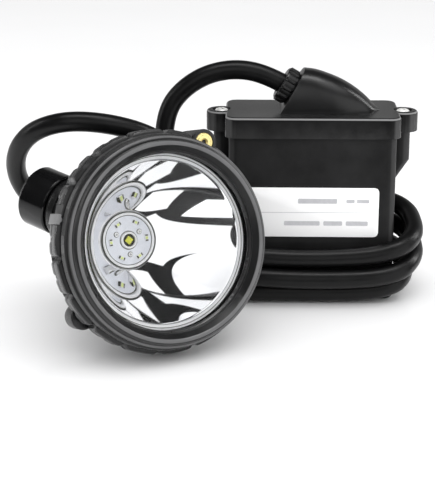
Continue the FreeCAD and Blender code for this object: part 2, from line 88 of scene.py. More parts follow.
def textured(name, base, rough, metallic=0.0, vary=0.25, grain=1400.0, bump=0.12, dist=0.00004,
             rough_var=0.06, wear=0.0, wear_col=(0.2, 0.2, 0.2), coat=0.0, coat_rough=0.05, spec=0.5,
             big=60.0, streak=None, dust=0.0, painted_highlight_top=0.0, painted_highlight_side=0.0, painted_highlight_col=(0.10, 0.10, 0.10)):
    """Moulded, rubber or metal surface: mottled colour, fine grain, uneven gloss, rubbed edges, and painted highlight
    bands on fillets picked by their normal.
    """
    m, nt, b = new_mat(name)
    b.inputs["Metallic"].default_value = metallic
    b.inputs["Specular IOR Level"].default_value = spec
    if coat:
        b.inputs["Coat Weight"].default_value = coat
        b.inputs["Coat Roughness"].default_value = coat_rough
    tc = N(nt, "ShaderNodeTexCoord")
    co = tc.outputs["Object"]
    if streak:
        mp = N(nt, "ShaderNodeMapping")
        mp.inputs["Scale"].default_value = streak
        nt.links.new(co, mp.inputs[0])
        co = mp.outputs[0]
    n1 = N(nt, "ShaderNodeTexNoise", Scale=big, Detail=5.0, Roughness=0.6)
    n2 = N(nt, "ShaderNodeTexNoise", Scale=grain, Detail=3.0, Roughness=0.55)
    nt.links.new(co, n1.inputs["Vector"])
    nt.links.new(co, n2.inputs["Vector"])
    lo = tuple(c * (1 - vary) for c in base)
    hi = tuple(min(1.0, c * (1 + vary)) for c in base)
    col = ramp(nt, n1.outputs["Fac"], [(0.3, lo), (0.7, hi)])
    if dust > 0:
        geo = N(nt, "ShaderNodeNewGeometry")
        sep = N(nt, "ShaderNodeSeparateXYZ")
        nt.links.new(geo.outputs["Normal"], sep.inputs[0])
        n3 = N(nt, "ShaderNodeTexNoise", Scale=240.0, Detail=6.0, Roughness=0.7)
        nt.links.new(tc.outputs["Object"], n3.inputs["Vector"])
        up = ramp(nt, sep.outputs["Z"], [(0.2, 0.0), (0.95, 1.0)])
        sp = ramp(nt, n3.outputs["Fac"], [(0.5, 0.0), (0.75, 1.0)])
        mu = N(nt, "ShaderNodeMath", operation="MULTIPLY")
        nt.links.new(up, mu.inputs[0])
        nt.links.new(sp, mu.inputs[1])
        mu2 = N(nt, "ShaderNodeMath", operation="MULTIPLY")
        nt.links.new(mu.outputs[0], mu2.inputs[0])
        mu2.inputs[1].default_value = dust
        mx = N(nt, "ShaderNodeMix", data_type="RGBA")
        nt.links.new(mu2.outputs[0], mx.inputs["Factor"])
        nt.links.new(col, mx.inputs["A"])
        mx.inputs["B"].default_value = (0.30, 0.29, 0.27, 1)
        col = mx.outputs["Result"]
    if wear > 0:
        geo = N(nt, "ShaderNodeNewGeometry")
        edge = ramp(nt, geo.outputs["Pointiness"], [(0.52, 0.0), (0.62, 1.0)])
        mul = N(nt, "ShaderNodeMath", operation="MULTIPLY")
        nt.links.new(edge, mul.inputs[0])
        sc = ramp(nt, n1.outputs["Fac"], [(0.35, 0.3), (0.65, 1.0)])
        nt.links.new(sc, mul.inputs[1])
        mul2 = N(nt, "ShaderNodeMath", operation="MULTIPLY")
        nt.links.new(mul.outputs[0], mul2.inputs[0])
        mul2.inputs[1].default_value = wear
        mix = N(nt, "ShaderNodeMix", data_type="RGBA")
        nt.links.new(mul2.outputs[0], mix.inputs["Factor"])
        nt.links.new(col, mix.inputs["A"])
        mix.inputs["B"].default_value = (*wear_col, 1.0)
        col = mix.outputs["Result"]
    # painted highlight: where the normal's Z (top fillets) or X (side corners) lies between about 0.3 and 0.93, the
    # colour is mixed towards the lighter painted_highlight_col, a highlight painted along rounded edges
    if painted_highlight_top > 0 or painted_highlight_side > 0:
        geo = N(nt, "ShaderNodeNewGeometry")
        sep = N(nt, "ShaderNodeSeparateXYZ")
        nt.links.new(geo.outputs["Normal"], sep.inputs[0])
        total = None
        for axis, amount in (("Z", painted_highlight_top), ("X", painted_highlight_side)):
            ab = N(nt, "ShaderNodeMath", operation="ABSOLUTE")
            nt.links.new(sep.outputs[axis], ab.inputs[0])
            win = ramp(nt, ab.outputs[0], [(0.30, 0.0), (0.50, 1.0), (0.75, 1.0), (0.93, 0.0)])
            k = N(nt, "ShaderNodeMath", operation="MULTIPLY")
            nt.links.new(win, k.inputs[0])
            k.inputs[1].default_value = amount
            if total is None:
                total = k.outputs[0]
            else:
                mx = N(nt, "ShaderNodeMath", operation="MAXIMUM")
                nt.links.new(total, mx.inputs[0])
                nt.links.new(k.outputs[0], mx.inputs[1])
                total = mx.outputs[0]
        mix = N(nt, "ShaderNodeMix", data_type="RGBA")
        nt.links.new(total, mix.inputs["Factor"])
        nt.links.new(col, mix.inputs["A"])
        mix.inputs["B"].default_value = (*painted_highlight_col, 1.0)
        col = mix.outputs["Result"]
    nt.links.new(col, b.inputs["Base Color"])
    r = ramp(nt, n1.outputs["Fac"], [(0.3, max(0.0, rough - rough_var)), (0.7, min(1.0, rough + rough_var))])
    nt.links.new(r, b.inputs["Roughness"])
    if bump > 0:
        bp = N(nt, "ShaderNodeBump", Strength=bump, Distance=dist)
        nt.links.new(n2.outputs["Fac"], bp.inputs["Height"])
        nt.links.new(bp.outputs[0], b.inputs["Normal"])
    return m


M = {}
# case and lid: the painted_highlight_* arguments paint lighter highlight lines along their top fillets and vertical
# corners
M["case"] = textured("case_plastic", (0.0072, 0.0072, 0.0075), 0.42, grain=2600, bump=0.22, dist=0.00003, wear=0.25,
                     wear_col=(0.05, 0.05, 0.05), big=45, spec=0.14, painted_highlight_side=0.25)
M["lid"] = textured("lid_plastic", (0.0045, 0.0045, 0.0047), 0.24, grain=2200, bump=0.10, dist=0.00003, wear=0.45,
                    wear_col=(0.10, 0.10, 0.10), big=50, spec=0.11, rough_var=0.03, painted_highlight_top=1.0, painted_highlight_side=0.22, painted_highlight_col=(0.20, 0.20, 0.20))
M["gloss"] = textured("gloss_plastic", (0.006, 0.006, 0.0063), 0.30, grain=900, bump=0.04, dist=0.00003, wear=0.15,
                      wear_col=(0.05, 0.05, 0.05), big=40, rough_var=0.03, spec=0.42)
M["knob"] = textured("knob_plastic", (0.004, 0.004, 0.0043), 0.12, grain=700, bump=0.03, dist=0.00003, big=40,
                     rough_var=0.04, wear=0.1, wear_col=(0.04, 0.04, 0.04), spec=0.4)
M["bezel"] = textured("bezel_plastic", (0.010, 0.010, 0.0104), 0.34, grain=3000, bump=0.16, dist=0.00003, wear=0.3,
                      wear_col=(0.08, 0.08, 0.08), big=70, spec=0.4)
# lighter satin finish for the bezel's bead, also used to paint a thin highlight ring on the bezel face
M["satin"] = textured("bezel_satin", (0.100, 0.100, 0.102), 0.34, vary=0.14, grain=3000, bump=0.16, dist=0.00003, big=90, spec=0.5)
M["band"] = textured("bezel_band", (0.021, 0.021, 0.0215), 0.27, vary=0.3, grain=3000, bump=0.2, dist=0.00004, wear=0.5,
                     wear_col=(0.16, 0.16, 0.16), big=110, spec=0.5)
M["tabgrey"] = textured("tab_plastic", (0.17, 0.17, 0.172), 0.4, vary=0.14, grain=3000, bump=0.16, dist=0.00003, big=90, spec=0.5)
M["housing"] = textured("housing_plastic", (0.008, 0.008, 0.0083), 0.28, grain=2400, bump=0.18, dist=0.00003, wear=0.35,
                        wear_col=(0.09, 0.09, 0.09), big=55, spec=0.45)
M["cable"] = textured("cable_rubber", (0.0040, 0.0040, 0.0042), 0.34, grain=1500, bump=0.10, dist=0.00005,
                      big=120, rough_var=0.05, spec=0.22)
M["rubber"] = textured("seal_rubber", (0.012, 0.012, 0.012), 0.55, grain=1600, bump=0.2, dist=0.00005, big=90, spec=0.3)
M["steel"] = textured("bright_steel", (0.78, 0.78, 0.77), 0.28, metallic=1.0, vary=0.12, grain=2500, bump=0.12,
                      dist=0.00002, wear=0.3, wear_col=(0.9, 0.9, 0.9), streak=(1, 6, 1))
M["brass"] = textured("turned_brass", (0.97, 0.78, 0.34), 0.26, metallic=0.62, vary=0.10, grain=1800, bump=0.10,
                      dist=0.00002, rough_var=0.06)
M["steel_dull"] = textured("dull_steel", (0.34, 0.34, 0.335), 0.36, metallic=0.9, vary=0.2, grain=2500, bump=0.15,
                           dist=0.00003, wear=0.3, wear_col=(0.6, 0.6, 0.6))
M["zinc"] = textured("zinc_plate", (0.82, 0.82, 0.80), 0.38, metallic=0.35, vary=0.10, grain=2500, bump=0.12,
                     dist=0.00002, wear=0.4, wear_col=(0.95, 0.95, 0.95))
M["alu"] = textured("aluminium", (0.78, 0.79, 0.80), 0.34, metallic=1.0, vary=0.1, grain=1500, bump=0.15, dist=0.00002)
M["board"] = textured("white_mask", (0.80, 0.82, 0.88), 0.38, vary=0.05, grain=1200, bump=0.06, dist=0.00002, big=300)
M["ringwhite"] = textured("white_rim", (0.90, 0.90, 0.91), 0.30, vary=0.03, grain=900, bump=0.04, dist=0.00002, big=200)
M["phosphor"] = textured("phosphor", (0.72, 0.74, 0.07), 0.45, vary=0.15, grain=5000, bump=0.1, dist=0.00002, big=900)
M["aux"] = textured("aux_phosphor", (0.72, 0.80, 0.30), 0.4, vary=0.15, grain=4000, bump=0.1, dist=0.00002, big=900)
# dark finish of the LED terminals, also used for rings and discs that paint shade at part junctions and in recesses
M["dark"] = textured("terminal_and_painted_shade", (0.05, 0.052, 0.03), 0.4, vary=0.3, grain=3000, bump=0.1, dist=0.00002, big=600)
M["pcb"] = textured("green_mask", (0.02, 0.16, 0.07), 0.35, vary=0.2, grain=1500, bump=0.1, dist=0.00003, big=300)
M["chip"] = textured("chip_package", (0.02, 0.02, 0.021), 0.5, vary=0.2, grain=2500, bump=0.15, dist=0.00003)
M["wrap"] = textured("cell_wrap", (0.05, 0.16, 0.42), 0.3, vary=0.12, grain=600, bump=0.05, dist=0.00003)
M["natural"] = textured("natural_plastic", (0.62, 0.61, 0.57), 0.5, vary=0.08, grain=1200, bump=0.1, dist=0.00003)
M["label"] = textured("label_film", (0.99, 0.99, 0.99), 0.34, vary=0.02, grain=1000, bump=0.03, dist=0.00002, big=80, rough_var=0.04)
# dark grey used only to paint shade along the mirror bowl's rim
M["ink"] = textured("label_ink", (0.16, 0.17, 0.19), 0.5, vary=0.12, grain=2500, bump=0.03, dist=0.00001, big=500)
M["rule"] = textured("label_rule", (0.50, 0.50, 0.52), 0.5, vary=0.08, grain=2500, bump=0.03, dist=0.00001, big=500)

# mirror coating, with the faint unevenness of vacuum plating
m, nt, b = new_mat("mirror_coating")
b.inputs["Metallic"].default_value = 1.0
tc = N(nt, "ShaderNodeTexCoord")
nz = N(nt, "ShaderNodeTexNoise", Scale=55.0, Detail=3.0)
nt.links.new(tc.outputs["Object"], nz.inputs["Vector"])
nt.links.new(ramp(nt, nz.outputs["Fac"], [(0.3, (0.90, 0.90, 0.91)), (0.7, (0.96, 0.96, 0.965))]), b.inputs["Base Color"])
nt.links.new(ramp(nt, nz.outputs["Fac"], [(0.3, 0.02), (0.7, 0.05)]), b.inputs["Roughness"])
M["mirror"] = m


def clear(name, gloss, rough, tint, scale):
    """Thin clear plastic: light passes straight through and a little is reflected, more at a slant."""
    m = bpy.data.materials.new(name)
    m.use_nodes = True
    nt = m.node_tree
    nt.nodes.clear()
    out = nt.nodes.new("ShaderNodeOutputMaterial")
    tr = nt.nodes.new("ShaderNodeBsdfTransparent")
    gl = nt.nodes.new("ShaderNodeBsdfGlossy")
    tc = nt.nodes.new("ShaderNodeTexCoord")
    nz = N(nt, "ShaderNodeTexNoise", Scale=scale, Detail=4.0)
    nt.links.new(tc.outputs["Object"], nz.inputs["Vector"])
    nt.links.new(ramp(nt, nz.outputs["Fac"], [(0.3, tint), (0.7, (1.0, 1.0, 1.0))]), tr.inputs["Color"])
    nt.links.new(ramp(nt, nz.outputs["Fac"], [(0.3, rough), (0.75, rough * 2.5)]), gl.inputs["Roughness"])
    bp = N(nt, "ShaderNodeBump", Strength=0.04, Distance=0.00003)
    nt.links.new(nz.outputs["Fac"], bp.inputs["Height"])
    nt.links.new(bp.outputs[0], gl.inputs["Normal"])
    fr = nt.nodes.new("ShaderNodeFresnel")
    fr.inputs["IOR"].default_value = gloss
    nt.links.new(bp.outputs[0], fr.inputs["Normal"])
    mx = nt.nodes.new("ShaderNodeMixShader")
    nt.links.new(fr.outputs[0], mx.inputs[0])
    nt.links.new(tr.outputs[0], mx.inputs[1])
    nt.links.new(gl.outputs[0], mx.inputs[2])
    nt.links.new(mx.outputs[0], out.inputs[0])
    return m


M["lens"] = clear("clear_lens", 1.15, 0.01, (0.985, 0.99, 0.99), 90.0)
M["dome"] = clear("silicone_dome", 1.30, 0.02, (0.97, 0.96, 0.86), 500.0)


# ---------------------------------------------------------------- mesh tools
def sharpen(me, deg=32.0):
    """Smooth faces with crisp edges where two faces meet at more than deg."""
    bm = bmesh.new()
    bm.from_mesh(me)
    bmesh.ops.remove_doubles(bm, verts=bm.verts, dist=1e-7)
    bmesh.ops.recalc_face_normals(bm, faces=bm.faces)
    lim = math.radians(deg)
    for f in bm.faces:
        f.smooth = True
    for e in bm.edges:
        e.smooth = not (len(e.link_faces) == 2 and e.calc_face_angle(0.0) > lim)
    bm.to_mesh(me)
    bm.free()


def make(name, verts, faces, mat, matrix=None, deg=32.0):
    me = bpy.data.meshes.new(name)
    me.from_pydata([tuple(v) for v in verts], [], faces)
    me.materials.append(mat)
    if matrix is not None:
        me.transform(matrix)
    sharpen(me, deg)
    o = bpy.data.objects.new(name, me)
    scene.collection.objects.link(o)
    return o


def round_corners(pts, radii, n=5):
    """Closed outline with each corner turned into an arc of its own radius."""
    out = []
    k = len(pts)
    for i in range(k):
        p = Vector(pts[i]).to_2d()
        a = Vector(pts[i - 1]).to_2d()
        c = Vector(pts[(i + 1) % k]).to_2d()
        r = radii[i] if hasattr(radii, "__len__") else radii
        u, w = (a - p), (c - p)
        lu, lw = u.length, w.length
        if r <= 0 or lu < 1e-9 or lw < 1e-9:
            out.append(tuple(p))
            continue
        u.normalize()
        w.normalize()
        ang = math.acos(max(-1, min(1, u.dot(w))))
        if ang > math.radians(178):
            out.append(tuple(p))
            continue
        cut = min(r / math.tan(ang / 2), 0.48 * lu, 0.48 * lw)
        s, e = p + u * cut, p + w * cut
        for j in range(n + 1):
            t = j / n
            q = s * (1 - t) ** 2 + p * 2 * t * (1 - t) + e * t ** 2
            out.append(tuple(q))
    return out


def lathe(name, prof, mat, matrix, seg=192, fn=None, deg=32.0):
    """Solid of revolution about local Y from (radius, depth) in mm; fn may change a point's radius by its angle."""
    verts, faces = [], []
    k = len(prof)
    axis_pts = [abs(p[0]) < 1e-6 for p in prof]
    index = {}
    for j in range(seg):
        th = 2 * math.pi * j / seg
        for i, (r, t) in enumerate(prof):
            if axis_pts[i]:
                if j == 0:
                    index[(i, j)] = len(verts)
                    verts.append(Vector((0, t * MM, 0)))
                else:
                    index[(i, j)] = index[(i, 0)]
                continue
            rr, tt = fn(r, t, th) if fn else (r, t)
            index[(i, j)] = len(verts)
            verts.append(Vector((rr * math.cos(th), tt, rr * math.sin(th))) * MM)
    for j in range(seg):
        j2 = (j + 1) % seg
        for i in range(k):
            i2 = (i + 1) % k
            q = [index[(i, j)], index[(i2, j)], index[(i2, j2)], index[(i, j2)]]
            q = [a for n_, a in enumerate(q) if a not in q[:n_]]
            if len(q) >= 3:
                faces.append(q)
    return make(name, verts, faces, mat, matrix, deg)


def extrude(name, outline, y0, y1, mat, matrix=None, bevel=0.0, seg=3, deg=32.0):
    """Flat outline in the XZ plane (mm), pushed from y0 to y1, with rounded rims."""
    bm = bmesh.new()
    vs = [bm.verts.new((x * MM, y0 * MM, z * MM)) for x, z in outline]
    f = bm.faces.new(vs)
    r = bmesh.ops.extrude_face_region(bm, geom=[f])
    bmesh.ops.translate(bm, vec=(0, (y1 - y0) * MM, 0), verts=[v for v in r["geom"] if isinstance(v, bmesh.types.BMVert)])
    bmesh.ops.recalc_face_normals(bm, faces=bm.faces)
    if bevel > 0:
        rim = [e for e in bm.edges if abs(e.verts[0].co.y - e.verts[1].co.y) < 1e-9 and len(e.link_faces) == 2
               and e.calc_face_angle(0) > 0.5]
        bmesh.ops.bevel(bm, geom=rim, offset=bevel * MM, segments=seg, profile=0.5, affect="EDGES", clamp_overlap=True)
    me = bpy.data.meshes.new(name)
    bm.to_mesh(me)
    bm.free()
    me.materials.append(mat)
    if matrix is not None:
        me.transform(matrix)
    sharpen(me, deg)
    o = bpy.data.objects.new(name, me)
    scene.collection.objects.link(o)
    return o


def boolean(o, cutter, op="DIFFERENCE", keep=False):
    md = o.modifiers.new("b", "BOOLEAN")
    md.operation = op
    md.solver = "EXACT"
    md.object = cutter
    bpy.context.view_layer.update()
    dg = bpy.context.evaluated_depsgraph_get()
    me = bpy.data.meshes.new_from_object(o.evaluated_get(dg))
    o.modifiers.clear()
    old = o.data
    mats = [m for m in old.materials]
    o.data = me
    me.name = o.name
    if not keep:
        bpy.data.objects.remove(cutter)
    return o


def finish_mesh(o, mat, deg=32.0):
    o.data.materials.clear()
    o.data.materials.append(mat)
    for p in o.data.polygons:
        p.material_index = 0
    sharpen(o.data, deg)
    return o


def frame_along(origin, axis, up=Vector((0, 0, 1))):
    """Matrix whose local Y runs along axis from origin (metres)."""
    y = Vector(axis).normalized()
    x = y.cross(up).normalized()
    z = x.cross(y).normalized()
    m = Matrix((x, y, z)).transposed().to_4x4()
    m.translation = Vector(origin)
    return m


def place(o, body, slot=None, *nodes):
    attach(o, body)
    if nodes:
        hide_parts(*nodes)
    return o


# --------------------------------------------------------------------- cable
CABLE_D = 8.4
route = [
    (-9.8, 0.0, 91.86), (-19.6, 0.0, 97.4), (-32.4, 0.0, 100.2), (-45.2, 0.0, 98.1), (-55.6, 0.0, 92.0),
    (-62.8, -0.4, 83.6), (-65.4, -1.6, 71.6), (-64.6, -4.0, 58.8), (-61.6, -8.2, 46.6), (-56.4, -13.4, 35.8),
    (-49.0, -18.8, 27.2),
    # first turn
    (-38.3, -20.6, 23.1), (-29.3, -22.7, 21.6), (-10.2, -22.6, 20.2), (10.2, -22.6, 20.4), (28.6, -23.0, 22.0),
    (39.6, -21.2, 25.2), (45.9, -11.3, 28.2), (46.3, 0.5, 30.6), (44.8, 12.4, 32.6), (38.2, 21.4, 34.4),
    (28.2, 22.5, 35.2), (8.8, 22.6, 34.4), (-8.8, 22.6, 32.1), (-28.1, 22.5, 29.0), (-38.5, 21.3, 26.0),
    (-44.6, 11.1, 23.2), (-45.8, 0.1, 20.6), (-44.0, -11.5, 17.9),
    # second turn
    (-39.2, -23.0, 14.6), (-29.1, -25.5, 13.1), (-10.2, -27.0, 12.4), (10.2, -27.0, 12.3), (29.1, -26.2, 13.0),
    (40.2, -22.6, 15.2), (46.2, -11.3, 18.6), (46.6, 0.5, 20.9), (44.8, 12.4, 23.0), (38.2, 21.4, 24.8),
    (28.2, 22.5, 25.8), (8.8, 22.6, 25.0), (-8.8, 22.6, 22.7), (-28.1, 22.5, 19.4), (-38.5, 21.3, 16.3),
    (-44.6, 11.1, 13.8), (-45.8, 0.1, 11.5), (-44.0, -11.7, 8.6),
    # third turn
    (-39.2, -21.8, 5.8), (-29.1, -22.3, 5.2), (-10.2, -22.2, 5.1), (10.2, -22.2, 5.1), (26.6, -22.3, 5.8),
    (37.2, -21.8, 8.4), (41.9, -12.8, 10.9), (42.0, 0.5, 12.5), (41.6, 12.6, 13.6), (37.2, 21.6, 14.6),
    (28.2, 22.5, 15.7), (8.8, 22.6, 14.6), (-8.9, 22.7, 12.1), (-27.3, 22.0, 9.0),
    # up behind the head, over to the left and into the head's gland
    (-43.5, 24.6, 6.2), (-56.0, 25.6, 8.4), (-67.4, 22.0, 15.4), (-75.6, 15.0, 26.4), (-79.4, 5.4, 40.0),
    (-77.2, -5.6, 52.6), (-68.6, -16.4, 63.8), (-63.6, -27.2, 72.6), (-72.2, -36.2, 80.4), (-88.2, -41.4, 85.6),
    (-104.0, -42.4, 86.4), (-117.2, -38.6, 81.6), (-125.2, -31.6, 72.6), (-128.6, -22.6, 61.6),
    (-127.6, -14.8, 51.4), (-123.4, -11.0, 43.6), (-115.8, -11.6, 37.6), (-105.95, -18.8, 34.14),
    (-96.76, -26.01, 31.41)]
cu = bpy.data.curves.new("cable", "CURVE")
cu.dimensions = "3D"
sp = cu.splines.new("NURBS")
sp.points.add(len(route) - 1)
for p, q in zip(sp.points, route):
    p.co = (q[0] * MM, q[1] * MM, q[2] * MM, 1.0)
sp.order_u = 3
sp.use_endpoint_u = True
cu.resolution_u = 10
cu.bevel_depth = CABLE_D / 2 * MM
cu.bevel_resolution = 7
cu.use_fill_caps = True
cu.materials.append(M["cable"])
cable = bpy.data.objects.new("cable", cu)
scene.collection.objects.link(cable)
place(cable, "lamp", "black_rubber", "cable_gland_loop", "cable_coil", "cable_head_loop")

# --------------------------------------------------------------- stage, light
def stage_floor():
    m, nt, b = new_mat("studio_floor")
    tc = N(nt, "ShaderNodeTexCoord")
    nz = N(nt, "ShaderNodeTexNoise", Scale=6.0, Detail=3.0)
    nt.links.new(tc.outputs["Object"], nz.inputs["Vector"])
    nt.links.new(ramp(nt, nz.outputs["Fac"], [(0.3, 0.87), (0.7, 0.89)]), b.inputs["Base Color"])
    b.inputs["Roughness"].default_value = 0.06
    b.inputs["Specular IOR Level"].default_value = 0.24
    o = make("floor", [(-1.4, -0.27, 0), (1.4, -0.27, 0), (1.4, 1.5, 0), (-1.4, 1.5, 0)], [(0, 1, 2, 3)], m)


stage_floor()


def softbox(name, az, el, dist, half_w, half_h, radiance, centre=(-0.03, -0.05, 0.05), diffuse=False, glossy=True):
    """Rectangular light seen from the lamp at azimuth az (0 = towards -Y, positive towards +X) and elevation el."""
    a, e = math.radians(az), math.radians(el)
    d = Vector((math.sin(a) * math.cos(e), -math.cos(a) * math.cos(e), math.sin(e)))
    wd, ht = 2 * dist * math.tan(math.radians(half_w)), 2 * dist * math.tan(math.radians(half_h))
    ld = bpy.data.lights.new(name, "AREA")
    ld.shape = "RECTANGLE"
    ld.size, ld.size_y = wd, ht
    ld.energy = radiance * math.pi * wd * ht
    o = bpy.data.objects.new(name, ld)
    scene.collection.objects.link(o)
    o.location = Vector(centre) + d * dist
    y = Vector((-math.sin(a) * math.sin(e), math.cos(a) * math.sin(e), math.cos(e)))
    x = y.cross(d)
    m3 = Matrix((x, y, d)).transposed()
    o.rotation_euler = m3.to_euler()
    o.visible_camera = False
    o.visible_diffuse = diffuse
    o.visible_glossy = glossy
    return o


softbox("box_right", 48.5, 15.0, 1.25, 31.0, 22.5, 1.25)
softbox("box_left", -10.0, 25.0, 1.25, 15.5, 17.5, 1.25)
softbox("box_high_right", 62.0, 61.0, 1.25, 18.0, 13.0, 1.6)
softbox("box_top", 0.0, 84.0, 1.1, 24.0, 6.5, 7.5)
softbox("strip_left", -92.0, 22.0, 1.2, 3.5, 19.0, 7.0)
softbox("strip_right", 112.0, 26.0, 1.2, 3.5, 19.0, 11.0)
softbox("fill_top", 25.0, 62.0, 1.3, 26.0, 20.0, 1.7, diffuse=True, glossy=False)

w = bpy.data.worlds.new("studio")
scene.world = w
w.use_nodes = True
nt = w.node_tree
nt.nodes.clear()
out = nt.nodes.new("ShaderNodeOutputWorld")
bg = nt.nodes.new("ShaderNodeBackground")
tc = nt.nodes.new("ShaderNodeTexCoord")
sep = nt.nodes.new("ShaderNodeSeparateXYZ")
nt.links.new(tc.outputs["Generated"], sep.inputs[0])
lp = nt.nodes.new("ShaderNodeLightPath")
env0 = ramp(nt, sep.outputs["Z"], [(0.0, 0.015), (0.3, 0.03), (1.0, 0.05)])
behind = ramp(nt, sep.outputs["Y"], [(0.15, 0.0), (0.45, 1.0)])
low = ramp(nt, sep.outputs["Z"], [(0.0, 1.0), (0.36, 1.0), (0.55, 0.0)])
both = nt.nodes.new("ShaderNodeMath")
both.operation = "MULTIPLY"
nt.links.new(behind, both.inputs[0])
nt.links.new(low, both.inputs[1])
glow = nt.nodes.new("ShaderNodeMix")
glow.data_type = "RGBA"
nt.links.new(both.outputs[0], glow.inputs["Factor"])
nt.links.new(env0, glow.inputs["A"])
glow.inputs["B"].default_value = (0.46, 0.46, 0.46, 1)
env = glow.outputs["Result"]
dif = nt.nodes.new("ShaderNodeMix")
dif.data_type = "RGBA"
nt.links.new(lp.outputs["Is Diffuse Ray"], dif.inputs["Factor"])
nt.links.new(env, dif.inputs["A"])
dif.inputs["B"].default_value = (1.34, 1.34, 1.35, 1)
mixw = nt.nodes.new("ShaderNodeMix")
mixw.data_type = "RGBA"
nt.links.new(lp.outputs["Is Camera Ray"], mixw.inputs["Factor"])
nt.links.new(dif.outputs["Result"], mixw.inputs["A"])
mixw.inputs["B"].default_value = (1.0, 1.0, 1.0, 1)
nt.links.new(mixw.outputs["Result"], bg.inputs["Color"])
bg.inputs["Strength"].default_value = 1.0
nt.links.new(bg.outputs[0], out.inputs[0])
scene.view_settings.view_transform = "Standard"
scene.view_settings.look = "None"
scene.view_settings.exposure = 0.0

# ------------------------------------------------------------------ lamp head
GRIP = 45.0


def scallop(r, t, th):
    """Eighteen grip lobes, each with two knuckles at its rear edge."""
    if r > 43.6 and t > 9.3:
        a = (math.degrees(th) - 1.0) % 20.0
        d = min(a, 20.0 - a)
        cusp = math.exp(-(d / 1.5) ** 2)
        mid = math.exp(-((a - 10.0) / 1.3) ** 2)
        back = max(0.0, min(1.0, (t - 14.6) / 1.6))
        k = max(0.0, min(1.0, (r - 43.6) / 0.9))
        r2 = r - k * (1.9 * cusp + 1.05 * mid * back)
        return r2, t - 1.0 * cusp * k * max(0.0, min(1.0, (13.0 - t) / 3.0))
    return r, t


prof = round_corners(
    [(35.0, 4.35), (35.75, 3.55), (36.0, 3.75), (36.3, 3.5), (36.35, 2.85), (37.3, 1.55), (37.9, 0.75), (38.2, 0.35), (38.5, 0.1), (39.15, 0.0), (39.75, 0.1), (40.3, 0.45),
     (40.75, 1.3), (41.0, 2.3), (41.7, 2.4), (42.0, 2.75), (42.05, 3.3), (42.0, 5.5),
     (42.7, 5.7), (42.9, 6.2), (43.35, 8.4), (43.2, 8.9), (42.2, 9.2), (42.2, 9.75), (43.9, 9.9), (44.7, 10.3), (45.0, 11.2), (45.0, 14.4), (44.9, 14.8), (45.0, 15.2),
     (45.0, 16.6), (44.6, 18.6), (43.4, 20.5), (39.6, 20.5), (39.6, 9.4), (37.3, 9.4), (37.3, 5.2), (35.0, 5.2)],
    [0.2, 0.1, 0.1, 0.1, 0.1, 0, 0.1, 0.1, 0.1, 0.2, 0.1, 0.1, 0.1, 0.15, 0.15, 0.2, 0.1, 0.2, 0.2, 0.2, 0.2, 0.1, 0.1, 0.1, 0.1, 0.3, 0.4, 0, 0, 0,
     0, 0.5, 0.4, 0.3, 0.2, 0.2, 0.2, 0.25], n=3)
ringo = lathe("bezel", prof, M["bezel"], None, seg=720, fn=scallop, deg=40)
cutter = lathe("cut", [(0, 8.9), (5.6, 8.9), (5.6, 23.0), (0, 23.0)], M["bezel"], Matrix.Translation(Vector((23.0, 0, 37.4)) * MM), seg=64)
boolean(ringo, cutter)
tab_dir = math.radians(161.0)
cutter = extrude("cut", [(43.0, -6.2), (47.0, -6.2), (47.0, 2.4), (43.0, 2.4)], 10.0, 22.0, M["bezel"], Matrix.Rotation(-tab_dir, 4, "Y"))
uncut = ringo.data.copy()
boolean(ringo, cutter)
if len(ringo.data.polygons) < len(uncut.polygons) // 2:
    print("the tab's notch was not cut: the solver lost the ring, so the whole ring is kept")
    ringo.data = uncut
else:
    bpy.data.meshes.remove(uncut)
finish_mesh(ringo, M["bezel"], 40)
ringo.data.materials.append(M["satin"])
ringo.data.materials.append(M["band"])
# material 1: the bead (r 38.3–39.8) is a lighter satin finish and the step at r 41.2–42.0 is lighter too; the thin ring
# at r 36.3–36.75 beside the inner groove is a painted highlight line
for p in ringo.data.polygons:
    c = p.center / MM
    r = math.hypot(c.x, c.z)
    if (r > 38.3 and r < 39.8 and c.y < 0.4) or (41.2 < r < 42.02 and c.y < 3.0) or (36.3 < r < 36.75 and c.y < 2.95):
        p.material_index = 1
    elif r < 35.8 and c.y < 4.4:
        p.material_index = 2
    elif (r > 42.85 and 5.9 < c.y < 8.6) or (r > 43.9 and c.y > 10.2):
        p.material_index = 2
ringo.data.transform(HM)
place(ringo, "lamp", "bezel_plastic", "bezel_ring")
tab = extrude("lock_tab", round_corners([(42.2, -2.1), (45.4, -2.1), (45.4, 2.1), (42.2, 2.1)], 0.35, n=3), 9.9, 19.0, M["tabgrey"],
              HM @ Matrix.Rotation(-tab_dir, 4, "Y"), bevel=0.35)
place(tab, "lamp", "bezel_plastic", "lock_tab")

# mirror reflector
k4f = (32.6 ** 2 - 12.3 ** 2) / (46.0 - 8.9)
inner = [(math.sqrt(12.3 ** 2 + k4f * (46.0 - t)), t) for t in [8.9 + 37.1 * i / 90.0 for i in range(91)]]
outer = [(r + 1.2, t) for r, t in inner if t > 10.3]
rp = [(36.15, 8.9), (33.2, 8.9), (32.75, 8.82)] + inner[1:] + list(reversed(outer)) + [(36.15, 10.1)]
refl = lathe("reflector_bowl", rp, M["mirror"], HM, seg=256, deg=28)
refl.data.materials.append(M["ringwhite"])
hinv = HM.inverted()
for p in refl.data.polygons:
    c = (hinv @ p.center) / MM
    if c.y < 9.3 and math.hypot(c.x, c.z) > 32.9:
        p.material_index = 1
place(refl, "lamp", "reflector_chrome", "reflector")

place(lathe("flange_line", [(34.15, 8.80), (34.4, 8.80), (34.4, 8.92), (34.15, 8.92)], M["dark"], HM, seg=256), "lamp", "reflector_chrome")
